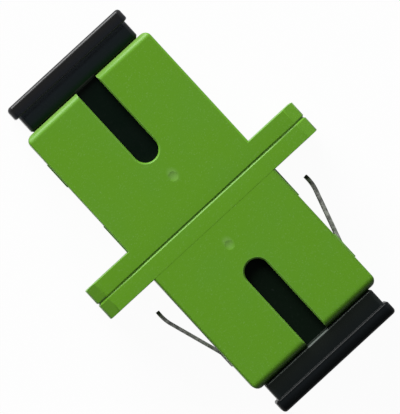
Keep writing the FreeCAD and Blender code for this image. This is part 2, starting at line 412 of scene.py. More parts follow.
@dataclass(frozen=True)
class Moulding(Finish):
    """Injection-moulded plastic with a fine spark-eroded grain and faint cloudiness.

    It is paler along its edges, where wear and a painted edge highlight go together, round its
    gates and where dust lies, and along the fibre axis its colour can carry painted light and
    shade. Its cloudiness scales the colours of the clouds and the grain. Lengths are in
    millimetres.
    """

    colour: Colour = (0.5, 0.5, 0.5)
    pale: Colour = (0.7, 0.7, 0.7)
    deep: Colour = (0.3, 0.3, 0.3)
    stops: tuple[Stop, ...] = ()
    blushes: tuple[Blush, ...] = ()
    tints: tuple[Tint, ...] = ()
    roughness: float = 0.4
    gloss: float = 0.5
    cloudiness: float = 0.16
    clouds: Layer = Layer(3.5, limits=(0.35, 0.7), roughness=0.1)
    grain: Layer = Layer(0.11, 2.0, limits=(0.55, 0.8), share=0.5, height=0.0007, roughness=0.08)
    waves: Layer = Layer(2.2, 1.0, height=0.0035)
    edge_width: float = 0.09
    edge_limits: Span = (0.004, 0.09)
    edge_steady: float = 0.6
    edge_broken: float = 0.8
    edge_share: float = 0.25
    worn_from: float = 0.0
    worn_fade: float = 0.3
    dust_spacing: float = 0.42
    dust_limits: Span = (0.2, 0.05)
    dust_patches: Layer = Layer(2.6, limits=(0.42, 0.75))
    dust_share: float = 0.0

    def shade(self, tree: Tree) -> Signal:
        """Build the plastic.

        Args:
            tree: The material's tree.

        Returns:
            The shader.
        """
        where = self.place(tree)
        _, y, _ = tree.axes(where)
        clouds = self.clouds.pattern(tree, where)
        grain = self.grain.pattern(tree, where)
        waves = self.waves.pattern(tree, where)
        # painted light and shade along the fibre axis
        colour = self.along(tree, abs(y))
        colour = tree.mix(self.clouds.shown(clouds) * self.cloudiness, colour, self.deep)
        colour = tree.mix(self.grain.shown(grain) * self.cloudiness, colour, self.pale)
        for blush in self.blushes:
            colour = tree.mix(blush.shown(tree, where, clouds), colour, self.pale)
        # paler edges: wear together with a painted edge highlight
        colour = tree.mix(self.worn(tree, grain, abs(y)), colour, self.pale)
        # bands of painted shade and painted highlight near the mouths
        for painted_band in self.tints:
            colour = tree.mix(painted_band.shown(y), colour, painted_band.colour)
        if self.dust_share:
            colour = tree.mix(self.dust(tree, where), colour, self.pale)
        roughness = self.roughness + (clouds - NOISE_MIDDLE) * self.clouds.roughness
        roughness = roughness + (grain - NOISE_MIDDLE) * self.grain.roughness
        height = self.grain.relief(grain) + self.waves.relief(waves)
        return self.surface(tree, colour, roughness, height, {"Specular IOR Level": self.gloss})

    def along(self, tree: Tree, reach: Signal) -> Value:
        """The colour at a distance from the seam, painted light and shade included, blended from
        stop to stop.

        Args:
            tree: The material's tree.
            reach: The distance from the seam, in metres.

        Returns:
            The colour.
        """
        colour: Value = self.colour
        for start, stop in zip(self.stops, self.stops[1:]):
            share = reach.ramp(start.reach * MM, stop.reach * MM)
            colour = tree.mix(share, colour, stop.colour)
        return colour

    def worn(self, tree: Tree, grain: Signal, reach: Signal) -> Signal:
        """How far the plastic is paled along its edges, by wear together with a painted edge
        highlight.

        Args:
            tree: The material's tree.
            grain: The grain, which breaks the worn line up.
            reach: The distance from the seam, in metres.

        Returns:
            The share of the pale colour.
        """
        rounded = tree.node("ShaderNodeBevel", {"Radius": self.edge_width * MM}, samples=4)
        flat = tree.node("ShaderNodeNewGeometry", outlet="Normal")
        agreement = tree.vector("DOT_PRODUCT", rounded, flat, outlet=1)
        edge = (1.0 - agreement).ramp(*self.edge_limits)
        edge = edge * (self.edge_steady + self.edge_broken * grain).clamped() * self.edge_share
        return edge * reach.ramp((self.worn_from - self.worn_fade) * MM, self.worn_from * MM)

    def dust(self, tree: Tree, where: Signal) -> Signal:
        """Fine dust in loose patches.

        Args:
            tree: The material's tree.
            where: The position on the piece, in metres.

        Returns:
            The share of the pale colour.
        """
        inputs = {"Vector": where, "Scale": 1.0 / (self.dust_spacing * MM)}
        cells = tree.node("ShaderNodeTexVoronoi", inputs, outlet="Distance")
        patches = self.dust_patches.shown(self.dust_patches.pattern(tree, where))
        return cells.ramp(*self.dust_limits) * patches * self.dust_share


@dataclass(frozen=True)
class RolledSteel(Finish):
    """Spring steel strip with rolling lines, a mottled tarnish, bright nicks and dark tips."""

    bright: Colour = (0.52, 0.52, 0.50)
    dull: Colour = (0.22, 0.22, 0.21)
    nick: Colour = (0.72, 0.71, 0.68)
    tip: Colour = (0.03, 0.03, 0.03)
    roughness: float = 0.45
    lines: Layer = Layer(0.05, 2.0, limits=(0.5, 0.8), share=0.35, height=0.0016)
    line_squeeze: float = 0.12
    mottle: Layer = Layer(0.34, 4.0, limits=(0.32, 0.68), height=0.004, roughness=0.25)
    nicks: Layer = Layer(0.16, 2.0, limits=(0.61, 0.7), share=0.8)
    tip_start: float = 3.95
    tip_end: float = 3.7
    tip_share: float = 0.9
    tip_roughness: float = 0.1

    def shade(self, tree: Tree) -> Signal:
        """Build the steel.

        Args:
            tree: The material's tree.

        Returns:
            The shader.
        """
        where = self.place(tree)
        _, y, _ = tree.axes(where)
        drawn = tree.vector("MULTIPLY", where, (1.0, self.line_squeeze, 1.0))
        lines = self.lines.pattern(tree, drawn)
        mottle = self.mottle.pattern(tree, where)
        nicks = self.nicks.pattern(tree, where)
        # darker and rougher towards the wing tips
        toward_tip = y.ramp(self.tip_start * MM, self.tip_end * MM)
        colour = tree.mix(self.mottle.shown(mottle), self.dull, self.bright)
        colour = tree.mix(self.lines.shown(lines), colour, self.dull)
        colour = tree.mix(self.nicks.shown(nicks), colour, self.nick)
        colour = tree.mix(toward_tip * self.tip_share, colour, self.tip)
        roughness = self.roughness + mottle * self.mottle.roughness + toward_tip * self.tip_roughness
        height = self.lines.relief(lines) + self.mottle.relief(mottle)
        return self.surface(tree, colour, roughness, height, {"Metallic": 1.0})


@dataclass(frozen=True)
class GroundCeramic(Finish):
    """White zirconia, ground outside with fine rings round the tube."""

    colour: Colour = (0.80, 0.78, 0.72)
    shaded: Colour = (0.68, 0.66, 0.60)
    roughness: float = 0.16
    rings: Layer = Layer(0.05, 2.0, height=0.0006, roughness=0.14)
    ring_squeeze: float = 0.15
    clouds: Layer = Layer(1.6, limits=(0.4, 0.7), share=0.4)

    def shade(self, tree: Tree) -> Signal:
        """Build the ceramic.

        Args:
            tree: The material's tree.

        Returns:
            The shader.
        """
        where = self.place(tree)
        drawn = tree.vector("MULTIPLY", where, (self.ring_squeeze, 1.0, self.ring_squeeze))
        rings = self.rings.pattern(tree, drawn)
        clouds = self.clouds.pattern(tree, where)
        colour = tree.mix(self.clouds.shown(clouds), self.colour, self.shaded)
        roughness = self.roughness + rings * self.rings.roughness
        return self.surface(tree, colour, roughness, self.rings.relief(rings))


@dataclass(frozen=True)
class PaleFloor(Finish):
    """A white sweep that shows as plain white and still takes a faint shadow."""

    white: float = 1.0
    shadow_share: float = 0.036
    paper: Colour = (0.6, 0.6, 0.6)
    fibre: Colour = (0.56, 0.56, 0.56)
    fibres: Layer = Layer(0.5, 2.0, share=0.03)

    def shade(self, tree: Tree) -> Signal:
        """Build the sweep.

        Args:
            tree: The material's tree.

        Returns:
            The shader.
        """
        fibres = self.fibres.pattern(tree, self.place(tree)) * self.fibres.share
        colour = tree.mix(fibres, self.paper, self.fibre)
        paper = tree.node("ShaderNodeBsdfDiffuse", {"Color": colour})
        light = {"Color": tree.paint(WHITE), "Strength": self.white}
        glow = tree.node("ShaderNodeEmission", light)
        seen = seen_directly(tree) * (1.0 - self.shadow_share)
        return tree.node("ShaderNodeMixShader", {0: seen, 1: paper, 2: glow})


def seen_directly(tree: Tree) -> Signal:
    """One for the rays that show a background: camera, mirror and glass rays.

    Args:
        tree: The tree of the floor or of the world.

    Returns:
        The share.
    """
    camera = tree.node("ShaderNodeLightPath", outlet="Is Camera Ray")
    outputs = camera.socket.node.outputs
    mirrored = Signal(tree, outputs["Is Glossy Ray"])
    passed = Signal(tree, outputs["Is Transmission Ray"])
    return camera.at_least(mirrored).at_least(passed)


# ------------------------------------------------------------------------------- mesh helpers
def new_piece(name: str, mesh: bpy.types.Mesh) -> bpy.types.Object:
    """Put a mesh in the scene as an object at the origin.

    Args:
        name: The object's name.
        mesh: The mesh.

    Returns:
        The new object.
    """
    piece = bpy.data.objects.new(name, mesh)
    bpy.context.scene.collection.objects.link(piece)
    return piece


def settle(piece: bpy.types.Object) -> None:
    """Turn what a piece's modifiers give into its plain mesh and drop the modifiers.

    Args:
        piece: The object.
    """
    graph = bpy.context.evaluated_depsgraph_get()
    result = bpy.data.meshes.new_from_object(
        piece.evaluated_get(graph), preserve_all_data_layers=True, depsgraph=graph
    )
    piece.modifiers.clear()
    piece.data = result
    result.name = piece.name


def clean(mesh: bpy.types.Mesh) -> None:
    """Merge a mesh's doubles, join the triangles of its flat faces and point them outwards.

    Args:
        mesh: The mesh, which is changed in place.
    """
    work = bmesh.new()
    work.from_mesh(mesh)
    bmesh.ops.remove_doubles(work, verts=work.verts, dist=MERGE_DISTANCE)
    bmesh.ops.dissolve_degenerate(work, edges=work.edges, dist=MERGE_DISTANCE)
    bmesh.ops.dissolve_limit(
        work, angle_limit=FLAT_ANGLE, verts=work.verts, edges=work.edges, delimit={"NORMAL"}
    )
    bmesh.ops.recalc_face_normals(work, faces=work.faces)
    for face in work.faces:
        face.smooth = True
    work.to_mesh(mesh)
    work.free()


def soften(piece: bpy.types.Object, width: float, segments: int = 2) -> None:
    """Round the sharp edges of a piece a little, as its mould or press would.

    Args:
        piece: The object, which ends with a plain mesh.
        width: The width of the rounding, in millimetres.
        segments: The number of faces across the rounding.
    """
    clean(piece.data)
    edge = piece.modifiers.new("edge", "BEVEL")
    edge.width = width * MM
    edge.segments = segments
    edge.limit_method = "ANGLE"
    edge.angle_limit = EDGE_ANGLE
    edge.use_clamp_overlap = True
    even = piece.modifiers.new("even", "WEIGHTED_NORMAL")
    even.weight = NORMAL_WEIGHT
    settle(piece)


def copy_of_node(node: str, name: str) -> bpy.types.Object:
    """Copy the bare shape of a CAD node into a new piece.

    Args:
        node: The CAD node's name.
        name: The new piece's name.

    Returns:
        The new object.
    """
    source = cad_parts[node].data
    points = [vertex.co.copy() for vertex in source.vertices]
    faces = [tuple(polygon.vertices) for polygon in source.polygons]
    mesh = bpy.data.meshes.new(name)
    mesh.from_pydata(points, [], faces)
    return new_piece(name, mesh)


def run_tree(name: str, group: bpy.types.NodeTree, values: Mapping[str, Any]) -> bpy.types.Object:
    """Evaluate a geometry tree with its named inputs and keep the result as a plain mesh.

    Args:
        name: The name of the piece.
        group: The geometry tree.
        values: A value for each named input.

    Returns:
        The new object.
    """
    piece = new_piece(name, bpy.data.meshes.new(name))
    modifier = piece.modifiers.new(group.name, "NODES")
    modifier.node_group = group
    for item in group.interface.items_tree:
        if item.in_out == "INPUT" and item.name in values:
            modifier[item.identifier] = values[item.name]
    settle(piece)
    return piece


class GeometryTree(Tree):
    """A geometry node group with named inputs that ends in one geometry."""

    def __init__(self, name: str, inputs: Mapping[str, str]) -> None:
        """Start the group.

        Args:
            name: The group's name.
            inputs: The kind of socket for each named input.
        """
        self.group = bpy.data.node_groups.new(name, "GeometryNodeTree")
        super().__init__(self.group)
        for label, kind in inputs.items():
            self.group.interface.new_socket(name=label, in_out="INPUT", socket_type=kind)
        self.group.interface.new_socket(
            name="Geometry", in_out="OUTPUT", socket_type="NodeSocketGeometry"
        )
        self.entry = self.tree.nodes.new("NodeGroupInput")

    def __getitem__(self, name: str) -> Signal:
        """The named input of the group."""
        return Signal(self, self.entry.outputs[name])

    def rounded_rectangle(
        self, width: Value, height: Value, corner: Value, corner_steps: int
    ) -> Signal:
        """Draw a closed rectangle with rounded corners.

        Args:
            width: The size along X, in metres.
            height: The size along Y, in metres.
            corner: The radius of the corners, in metres.
            corner_steps: The number of steps round each corner.

        Returns:
            The curve.
        """
        sizes = {"Width": width, "Height": height}
        outline = self.node("GeometryNodeCurvePrimitiveQuadrilateral", sizes)
        rounding = {0: outline, "Radius": corner, "Count": corner_steps}
        return self.node("GeometryNodeFilletCurve", rounding, mode="POLY")

    def thickened(self, face: Signal, sheet: Value) -> Signal:
        """Give a face its thickness, on the side that it looks to.

        Args:
            face: The face.
            sheet: The thickness, in metres.

        Returns:
            The closed sheet.
        """
        inputs = {0: face, "Offset Scale": sheet, "Individual": False}
        upper = self.node("GeometryNodeExtrudeMesh", inputs)
        under = self.node("GeometryNodeFlipFaces", {0: face})
        solid = self.node("GeometryNodeJoinGeometry", {0: [upper, under]})
        return self.node("GeometryNodeMergeByDistance", {0: solid, "Distance": MERGE_DISTANCE})

    def finish(self, geometry: Signal, material: Signal | None = None) -> bpy.types.NodeTree:
        """End the group in real geometry that wears its material.

        Args:
            geometry: What the group makes.
            material: The material input, where the group sets one.

        Returns:
            The finished group.
        """
        result = self.node("GeometryNodeRealizeInstances", {0: geometry})
        if material:
            result = self.node("GeometryNodeSetMaterial", {0: result, "Material": material})
        self.node("NodeGroupOutput", {0: result})
        return self.group


# ------------------------------------------------------------------------------- bent strip
@dataclass
class BentStrip:
    """A strip of even thickness that runs straight, bends, runs, bends and runs again.

    Lengths are in millimetres and bends in degrees, measured at the middle of the strip. A
    positive bend turns from the first axis towards the second, and the width lies along the
    third.
    """

    sheet: float
    width: float
    runs: tuple[float, float, float]
    bends: tuple[float, float] = (0.0, 0.0)
    radii: tuple[float, float] = (1.0, 1.0)
    tip_radius: float = 0.0
    start: tuple[float, float, float] = (0.0, 0.0, 0.0)
    turn: tuple[float, float, float] = (0.0, 0.0, 0.0)
    stations: int = 160

    LENGTHS = ("Sheet", "Width", "Run A", "Radius A", "Run B", "Radius B", "Run C", "Tip Radius")
    ANGLES = ("Bend A", "Bend B")

    def values(self) -> dict[str, Any]:
        """The strip's sizes as the group's inputs take them.

        Returns:
            A value for each named input, in metres and radians.
        """
        run_a, run_b, run_c = self.runs
        radius_a, radius_b = self.radii
        lengths = self.sheet, self.width, run_a, radius_a, run_b, radius_b, run_c, self.tip_radius
        values: dict[str, Any] = {key: size * MM for key, size in zip(self.LENGTHS, lengths)}
        values.update({key: math.radians(bend) for key, bend in zip(self.ANGLES, self.bends)})
        values["Start"] = tuple(size * MM for size in self.start)
        values["Turn"] = tuple(math.radians(angle) for angle in self.turn)
        values["Stations"] = self.stations
        return values

    @classmethod
    def group(cls) -> bpy.types.NodeTree:
        """The geometry group that bends a strip, made once.

        Returns:
            The group.
        """
        found = bpy.data.node_groups.get("bent_strip")
        if found:
            return found
        inputs = {key: "NodeSocketFloat" for key in cls.LENGTHS + cls.ANGLES}
        inputs |= {"Start": "NodeSocketVector", "Turn": "NodeSocketVector"}
        inputs["Stations"] = "NodeSocketInt"
        tree = GeometryTree("bent_strip", inputs)
        face = cls.bent_face(tree)
        normal = tree.node("GeometryNodeInputNormal")
        half_down = {0: normal, "Scale": tree["Sheet"] * -0.5}
        inward = tree.node("ShaderNodeVectorMath", half_down, operation="SCALE")
        lower = tree.node("GeometryNodeSetPosition", {0: face, "Offset": inward})
        solid = tree.thickened(lower, tree["Sheet"])
        place = {0: solid, "Translation": tree["Start"], "Rotation": tree["Turn"]}
        return tree.finish(tree.node("GeometryNodeTransform", place))

    @classmethod
    def bent_face(cls, tree: GeometryTree) -> Signal:
        """Walk along the strip's middle, turning in each bend and rounding the tip's corners.

        Args:
            tree: The group's tree.

        Returns:
            The bent face, a station of two points at each step.
        """
        arc_a = abs(tree["Bend A"]) * tree["Radius A"]
        arc_b = abs(tree["Bend B"]) * tree["Radius B"]
        second = tree["Run A"] + arc_a + tree["Run B"]
        length = second + arc_b + tree["Run C"]
        step = length / (tree["Stations"] - 1.0)
        sizes = {0: length, 1: 1.0, 2: tree["Stations"], 3: 2}
        grid = tree.node("GeometryNodeMeshGrid", sizes)
        along, row, _ = tree.axes(tree.node("GeometryNodeInputPosition"))
        walked = along + length * 0.5
        middle = walked + step * 0.5
        heading = tree["Bend A"] * ((middle - tree["Run A"]) / arc_a).clamped()
        heading = heading + tree["Bend B"] * ((middle - second) / arc_b).clamped()
        x = cls.summed(tree, heading.math("COSINE", heading) * step, row)
        y = cls.summed(tree, heading.math("SINE", heading) * step, row)
        short = (1.0 - (length - walked) / tree["Tip Radius"]).clamped()
        cut = tree["Tip Radius"] * (1.0 - (1.0 - short * short) ** 0.5)
        z = row.math("SIGN", row) * (tree["Width"] * 0.5 - cut)
        return tree.node("GeometryNodeSetPosition", {0: grid, "Position": tree.joined(x, y, z)})

    @staticmethod
    def summed(tree: Tree, amount: Signal, row: Signal) -> Signal:
        """Add a value up along each long edge of the strip.

        Args:
            tree: The group's tree.
            amount: The value at each station.
            row: The sideways position, which tells the two edges apart.

        Returns:
            The sum of the stations before each one.
        """
        edge = row.math("GREATER_THAN", row, 0.0)
        inputs = {"Value": amount, "Group Index": edge}
        return tree.node("GeometryNodeAccumulateField", inputs, "Trailing", data_type="FLOAT")

    def nested(self, tree: Tree) -> Signal:
        """Use the group inside another tree, with this strip's sizes.

        Args:
            tree: The other tree.

        Returns:
            The strip's geometry.
        """
        return tree.node("GeometryNodeGroup", self.values(), node_tree=self.group())


# ------------------------------------------------------------------------------- the adapter
@dataclass
class SubAssembly(ABC):
    """A group of pieces that are made and dressed together."""

    finish: Finish
    pieces: list[bpy.types.Object] = field(default_factory=list, init=False)

    @abstractmethod
    def build(self) -> None:
        """Make the pieces and dress them."""

    def dress(
        self,
        piece: bpy.types.Object,
        body: str,
        nodes: Sequence[str] = (),
        finish: Finish | None = None,
    ) -> None:
        """Give a piece its finish and tie it to the CAD model.

        Args:
            piece: The piece.
            body: The body that it moves with.
            nodes: The CAD nodes that it stands for.
            finish: Its finish, where it isn't the sub-assembly's own.
        """
        worn = finish or self.finish
        piece.data.materials.clear()
        piece.data.materials.append(worn.material())
        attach(piece, body)
        for node in nodes:
            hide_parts(node)
        self.pieces.append(piece)
        log.info("%s: %d faces on %s, %s", piece.name, len(piece.data.polygons), body, worn.name)


@dataclass
class MouldedPiece(SubAssembly):
    """A moulding that starts from its CAD shape and gets softened mould edges."""

    end: End = End.BACK
    edge_round: float = 0.04

    NODE = ""
    PIECE = ""

    @property
    def body(self) -> str:
        """The body that the moulding moves with."""
        return "adapter"

    def reshape(self, mesh: bpy.types.Mesh) -> None:
        """Leave the copied shape as it is; a moulding that differs from it changes the mesh."""

    def build(self) -> None:
        """Copy the CAD shape, reshape it, soften its edges and dress it."""
        node = f"{self.NODE}_{self.end.label}"
        piece = copy_of_node(node, f"{self.end.label}_{self.PIECE}")
        self.reshape(piece.data)
        soften(piece, self.edge_round)
        self.dress(piece, self.body, [node])


@dataclass(frozen=True)
class Facet:
    """The flat on the rounded corners of the flange: where it starts and how fast it falls."""

    start: float = 10.05
    slope: float = 0.577

    def level(self, x: float, top: float) -> float:
        """The height of the flange at a distance from the middle.

        Args:
            x: The place along the flange, in metres.
            top: The height between the facets, in metres.

        Returns:
            The height, in metres.
        """
        return top - max(abs(x) - self.start * MM, 0.0) * self.slope

    def cut(self, mesh: bpy.types.Mesh, top: float) -> None:
        """Bring the corners of a piece down to the facets.

        Args:
            mesh: The mesh, which is changed in place.
            top: The height between the facets, in metres.
        """
        for vertex in mesh.vertices:
            level = self.level(vertex.co.x, top)
            if level < top:
                vertex.co.z = max(min(vertex.co.z, level), -level)


@dataclass
class HousingHalf(MouldedPiece):
    """One half of the green housing: body, flange half, port, keyway and clip channel."""

    edge_round: float = 0.025
    body_top: float = 4.55
    sunk_share: float = 0.7
    seam_bottom: float = 4.455
    rim_reach: float = 1.38
    rim_moved_to: float = 1.46
    facet: Facet = Facet()
    gate_reach: float = 1.0
    gate_floor: float = 4.53
    gate_left: float = 4.5495
    hair: float = 0.004

    NODE = "housing"
    PIECE = "housing_half"

    def reshape(self, mesh: bpy.types.Mesh) -> None:
        """Finish the flange as it left the mould: level top, flat facet at each end, crisp rim.

        The seam's bevel is carried on across the body, and the gate mark is all but filled.

        Args:
            mesh: The mesh, which is changed in place.
        """
        top = self.body_top * MM
        hair = self.hair * MM
        for vertex in mesh.vertices:
            point = vertex.co
            if abs(point.y) < MERGE_DISTANCE:
                point.z = min(point.z, self.facet.level(point.x, self.seam_bottom * MM))
            elif point.z > top:
                point.z -= (point.z - top) * self.sunk_share
            if abs(abs(point.y) - self.rim_reach * MM) < hair:
                point.y = math.copysign(self.rim_moved_to * MM, point.y)
            in_gate = abs(point.x) < self.gate_reach * MM
            if in_gate and abs(point.z - self.gate_floor * MM) < hair:
                point.z = self.gate_left * MM
        self.facet.cut(mesh, top)


@dataclass
class WeldSeam(SubAssembly):
    """The thread of plastic that welding the halves leaves at the bottom of the seam groove."""

    flange_length: float = 22.1
    flange_height: float = 9.16
    corner_radius: float = 1.0
    groove_inset: float = 0.15
    groove_depth: float = 0.125
    facet: Facet = Facet()
    thread_radius: float = 0.022
    unevenness: float = 0.008
    stations: int = 420
    seed: int = 7

    CORNER_STEPS = 12
    RING_STEPS = 8
    WANDER_SIZE = 1.5
    WANDER_DETAIL = 1.0

    def build(self) -> None:
        """Lay the thread round the flange."""
        values = {
            "Length": (self.flange_length - 2 * self.groove_inset) * MM,
            "Height": (self.flange_height - 2 * self.groove_depth) * MM,
            "Corner": (self.corner_radius - self.groove_inset) * MM,
            "Radius": self.thread_radius * MM,
            "Unevenness": self.unevenness * MM,
            "Stations": self.stations,
            "Seed": self.seed,
            "Material": self.finish.material(),
        }
        thread = run_tree("weld_seam_thread", self.group(), values)
        clean(thread.data)
        self.facet.cut(thread.data, (self.flange_height / 2 - self.groove_depth) * MM)
        self.dress(thread, "adapter")

    @classmethod
    def group(cls) -> bpy.types.NodeTree:
        """The geometry tree that lays an uneven thread round a rounded rectangle.

        Returns:
            The tree.
        """
        lengths = ("Length", "Height", "Corner", "Radius", "Unevenness")
        inputs = {key: "NodeSocketFloat" for key in lengths}
        inputs |= {"Stations": "NodeSocketInt", "Seed": "NodeSocketInt"}
        inputs["Material"] = "NodeSocketMaterial"
        tree = GeometryTree("weld_thread", inputs)
        outline = tree["Length"], tree["Height"], tree["Corner"]
        path = tree.rounded_rectangle(*outline, cls.CORNER_STEPS)
        path = tree.node("GeometryNodeResampleCurve", {0: path, "Count": tree["Stations"]})
        upright = (math.radians(90.0), 0.0, 0.0)
        path = tree.node("GeometryNodeTransform", {0: path, "Rotation": upright})
        scale = 1.0 / (cls.WANDER_SIZE * MM)
        noise = {"W": tree["Seed"], "Scale": scale, "Detail": cls.WANDER_DETAIL}
        wander = tree.node("ShaderNodeTexNoise", noise, noise_dimensions="4D")
        swell = tree["Radius"] + (wander - NOISE_MIDDLE) * tree["Unevenness"]
        circle = {"Resolution": cls.RING_STEPS, "Radius": 1.0}
        ring = tree.node("GeometryNodeCurvePrimitiveCircle", circle)
        sweep = {"Curve": path, "Profile Curve": ring, "Scale": swell}
        return tree.finish(tree.node("GeometryNodeCurveToMesh", sweep), tree["Material"])


@dataclass
class LatchHolder(MouldedPiece):
    """One moulded holder inside: its plate, half barrel and two latch hooks."""

    NODE = "latch_holder"
    PIECE = "latch_moulding"


@dataclass
class AlignmentSleeve(SubAssembly):
    """The split ceramic tube, a strip bent round until a slit is left under it."""

    bore: float = 2.5
    diameter: float = 3.2
    length: float = 11.4
    slit: float = 0.5
    rim_round: float = 0.08

    def build(self) -> None:
        """Bend the strip into a tube and round its rims."""
        sleeve = run_tree("ceramic_sleeve", self.group(), {"Material": self.finish.material()})
        soften(sleeve, self.rim_round, segments=3)
        self.dress(sleeve, "adapter", ["alignment_sleeve"])

    def group(self) -> bpy.types.NodeTree:
        """The geometry tree of the sleeve.

        Returns:
            The tree.
        """
        tree = GeometryTree("sleeve_strip", {"Material": "NodeSocketMaterial"})
        return tree.finish(self.strip().nested(tree), tree["Material"])

    def strip(self) -> BentStrip:
        """The strip that is bent all the way round, but for the slit at the bottom.

        Returns:
            The strip.
        """
        wall = (self.diameter - self.bore) / 2
        radius = (self.diameter + self.bore) / 4
        half_slit = math.degrees(math.asin(self.slit / 2 / radius))
        start_angle = math.radians(half_slit)
        return BentStrip(
            sheet=wall,
            width=self.length,
            runs=(0.0, 0.0, 0.0),
            bends=(360.0 - 2 * half_slit, 0.0),
            radii=(radius, 1.0),
            start=(radius * math.sin(start_angle), 0.0, -radius * math.cos(start_angle)),
            turn=(90.0, -half_slit, 0.0),
            stations=97,
        )


@dataclass
class PanelClip(SubAssembly):
    """The U-shaped spring that holds the adapter in a panel, with a wing on each side."""

    sheet: float = 0.3
    outer_side: float = 6.55
    floor: float = -4.52
    bend_radius: float = 0.3
    leg_start: float = 9.6
    leg_width: float = 1.15
    leg_top: float = 1.9
    base_start: float = 4.9
    base_width: float = 11.0
    base_corner: float = 0.8
    window_bottom: float = -3.4
    window_height: float = 0.9
    window_width: float = 0.55
    window_cutter: float = 14.41
    wing_height: float = 3.8
    wing_angle: float = 17.5
    wing_root_radius: float = 1.0
    wing_run: float = 4.48
    wing_curl_radius: float = 3.6
    wing_curl_angle: float = 6.0
    wing_tip_radius: float = 0.7
    edge_round: float = 0.03

    CORNER_STEPS = 8

    def build(self) -> None:
        """Bend the band and the wings, cut the windows and join it all."""
        clip = run_tree("spring_clip", self.group(), {"Material": self.finish.material()})
        soften(clip, self.edge_round)
        self.dress(clip, "adapter", ["panel_clip"])

    @property
    def leg_end(self) -> float:
        """The far edge of the legs along the fibre axis."""
        return self.leg_start + self.leg_width

    def band(self) -> BentStrip:
        """The strip that runs down one side, under the housing and up the other side.

        Returns:
            The strip.
        """
        middle = self.outer_side - self.sheet / 2
        bend = self.bend_radius + self.sheet / 2
        under = self.floor + self.sheet / 2
        leg = self.leg_top - under - bend
        return BentStrip(
            sheet=self.sheet,
            width=self.leg_width,
            runs=(leg, 2 * (middle - bend), leg),
            bends=(90.0, 90.0),
            radii=(bend, bend),
            start=(middle, self.leg_start + self.leg_width / 2, self.leg_top),
            turn=(90.0, 90.0, 180.0),
            stations=361,
        )

    def wing(self, side: Side) -> BentStrip:
        """The sprung wing of one side, from the far edge of its leg to its curled tip.

        Args:
            side: The side that it is on.

        Returns:
            The strip.
        """
        sign = side.value
        middle = self.outer_side - self.sheet / 2
        return BentStrip(
            sheet=self.sheet,
            width=self.wing_height,
            runs=(self.leg_width, self.wing_run, 0.0),
            bends=(sign * self.wing_angle, -sign * (self.wing_angle + self.wing_curl_angle)),
            radii=(self.wing_root_radius, self.wing_curl_radius),
            tip_radius=self.wing_tip_radius,
            start=(sign * middle, self.leg_end, self.leg_top - self.wing_height / 2),
            turn=(0.0, 0.0, -90.0),
            stations=181,
        )

    def group(self) -> bpy.types.NodeTree:
        """The geometry tree of the whole clip.

        Returns:
            The tree.
        """
        tree = GeometryTree("panel_clip_strip", {"Material": "NodeSocketMaterial"})
        window = (self.window_cutter * MM, self.window_width * MM, self.window_height * MM)
        cutter = tree.node("GeometryNodeMeshCube", {0: window})
        window_place = (
            0.0,
            (self.leg_start + self.leg_width / 2) * MM,
            (self.window_bottom + self.window_height / 2) * MM,
        )
        cutter = tree.node("GeometryNodeTransform", {0: cutter, "Translation": window_place})
        parts = {0: self.band().nested(tree), 1: cutter}
        band = self.cut_or_joined(tree, "DIFFERENCE", parts)
        pieces = [band, self.base_plate(tree)]
        pieces += [self.wing(side).nested(tree) for side in Side]
        return tree.finish(self.cut_or_joined(tree, "UNION", {1: pieces}), tree["Material"])

    @staticmethod
    def cut_or_joined(
        tree: GeometryTree, operation: str, parts: Mapping[int, Signal | list[Signal]]
    ) -> Signal:
        """Cut one solid out of another, or join several into one."""
        kind = "GeometryNodeMeshBoolean"
        return tree.node(kind, parts, operation=operation, solver="MANIFOLD")

    def base_plate(self, tree: GeometryTree) -> Signal:
        """The flat plate under the housing that the band widens into.

        Args:
            tree: The clip's tree.

        Returns:
            The plate's geometry.
        """
        depth = self.leg_end - self.base_start
        sizes = self.base_width * MM, depth * MM, self.base_corner * MM
        outline = tree.rounded_rectangle(*sizes, self.CORNER_STEPS)
        face = tree.node("GeometryNodeFillCurve", {0: outline}, mode="NGONS")
        plate = tree.thickened(face, self.sheet * MM)
        place = (0.0, (self.base_start + depth / 2) * MM, self.floor * MM)
        return tree.node("GeometryNodeTransform", {0: plate, "Translation": place})


@dataclass
class DustCap(MouldedPiece):
    """One black dust cap: hollow plug, shoulder and end plate."""

    edge_round: float = 0.05

    NODE = "dust_cap"
    PIECE = "cap_moulding"

    @property
    def body(self) -> str:
        """The body that the cap moves with."""
        return f"cap_{self.end.label}"


# ------------------------------------------------------------------------------- the studio
@dataclass(frozen=True)
class Softbox:
    """A square soft light: where it stands, how wide it is and how much it adds on top faces."""

    name: str
    direction: tuple[float, float, float]
    distance: float
    width: float
    level: float
    colour: Colour = WHITE

    def build(self) -> None:
        """Hang the light so that a flat top face gets its level of the written colour."""
        lamp = bpy.data.lights.new(self.name, "AREA")
        lamp.shape = "SQUARE"
        lamp.size = self.width
        lamp.color = self.colour
        towards = Vector(self.direction).normalized()
        lamp.energy = self.level * (math.pi * self.distance) ** 2 / towards.z
        holder = bpy.data.objects.new(self.name, lamp)
        holder.location = towards * self.distance
        holder.rotation_euler = towards.to_track_quat("Z", "Y").to_euler()
        holder.visible_camera = False
        bpy.context.scene.collection.objects.link(holder)


